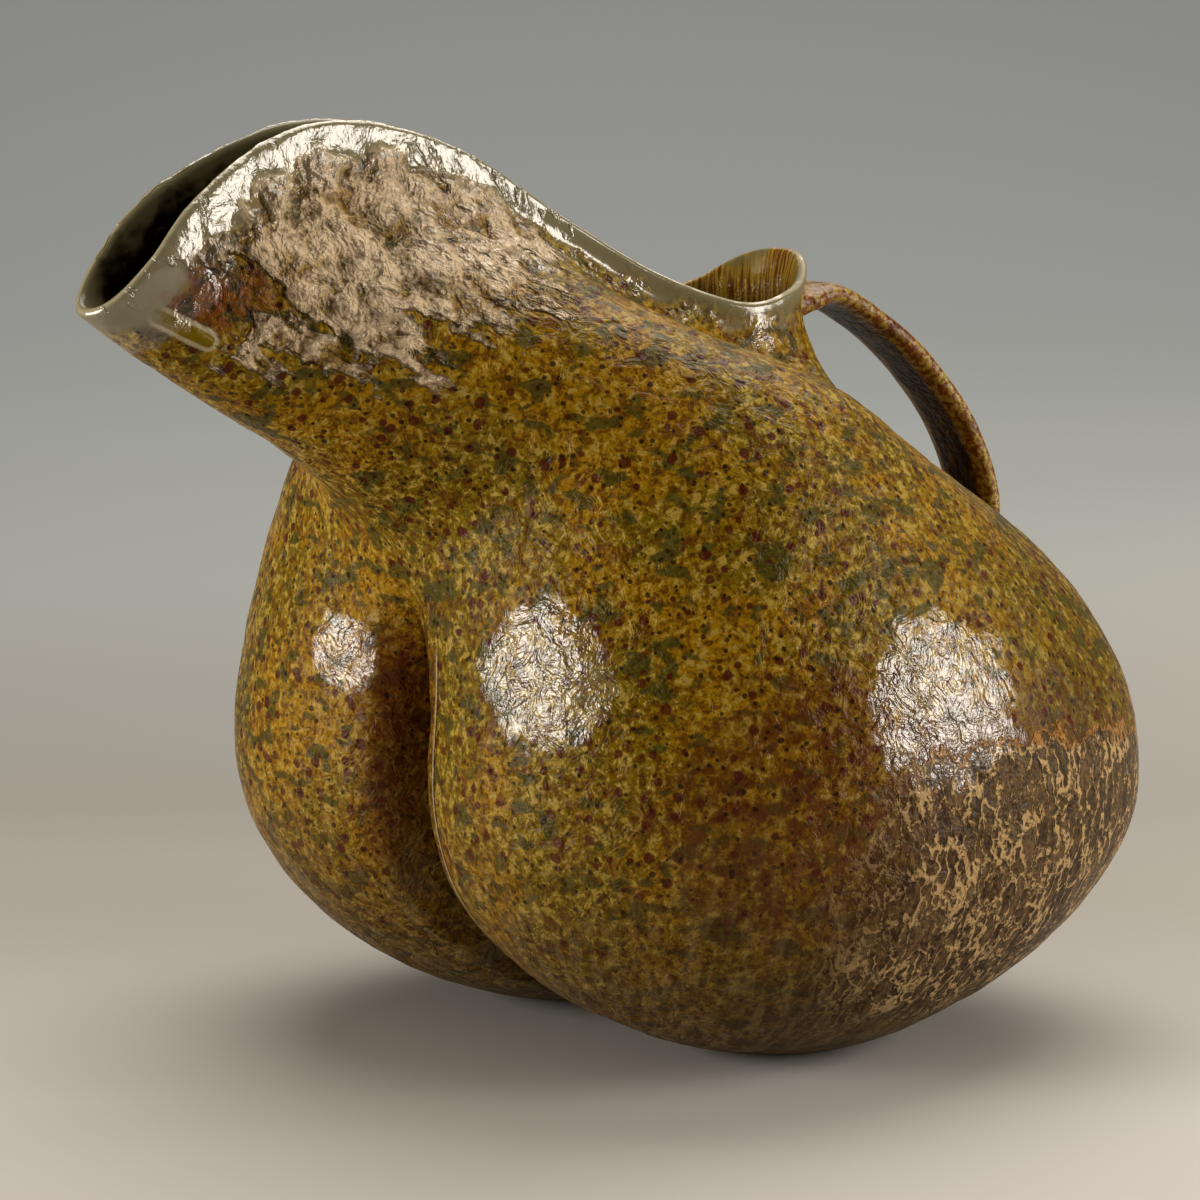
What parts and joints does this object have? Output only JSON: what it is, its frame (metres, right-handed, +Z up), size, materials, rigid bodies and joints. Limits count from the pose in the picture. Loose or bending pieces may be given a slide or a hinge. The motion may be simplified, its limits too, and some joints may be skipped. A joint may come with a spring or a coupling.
{
  "type": "figural pitcher",
  "caption": "Stoneware pitcher with two full lobes parted by a front cleft, one leaning neck and spout, and a strap handle behind.",
  "frame": {"origin": "on the resting surface, under the middle of the pitcher's own box", "axes": "+X runs from the spout to the handle, +Y towards the left-hand lobe, +Z up"},
  "size_m": [0.2932, 0.2278, 0.2383],
  "materials": {
    "body_glaze": "glossy mottled ochre and olive ash glaze with dark iron spots",
    "seam_glaze": "thin dark brown glaze",
    "lip_glaze": "glossy pale grey-green glaze, cream where it breaks on the edge",
    "handle_glaze": "glossy brown glaze, ochre along the edges"
  },
  "bodies": {
    "root": {"lobe_right": "body_glaze", "lobe_left": "body_glaze", "cleft_seam": "seam_glaze", "neck_right": "body_glaze", "neck_left": "body_glaze", "lip_bead": "lip_glaze", "handle_strap": "handle_glaze", "handle_top_wad": "handle_glaze", "handle_root_wad": "handle_glaze"}
  },
  "joints": []
}
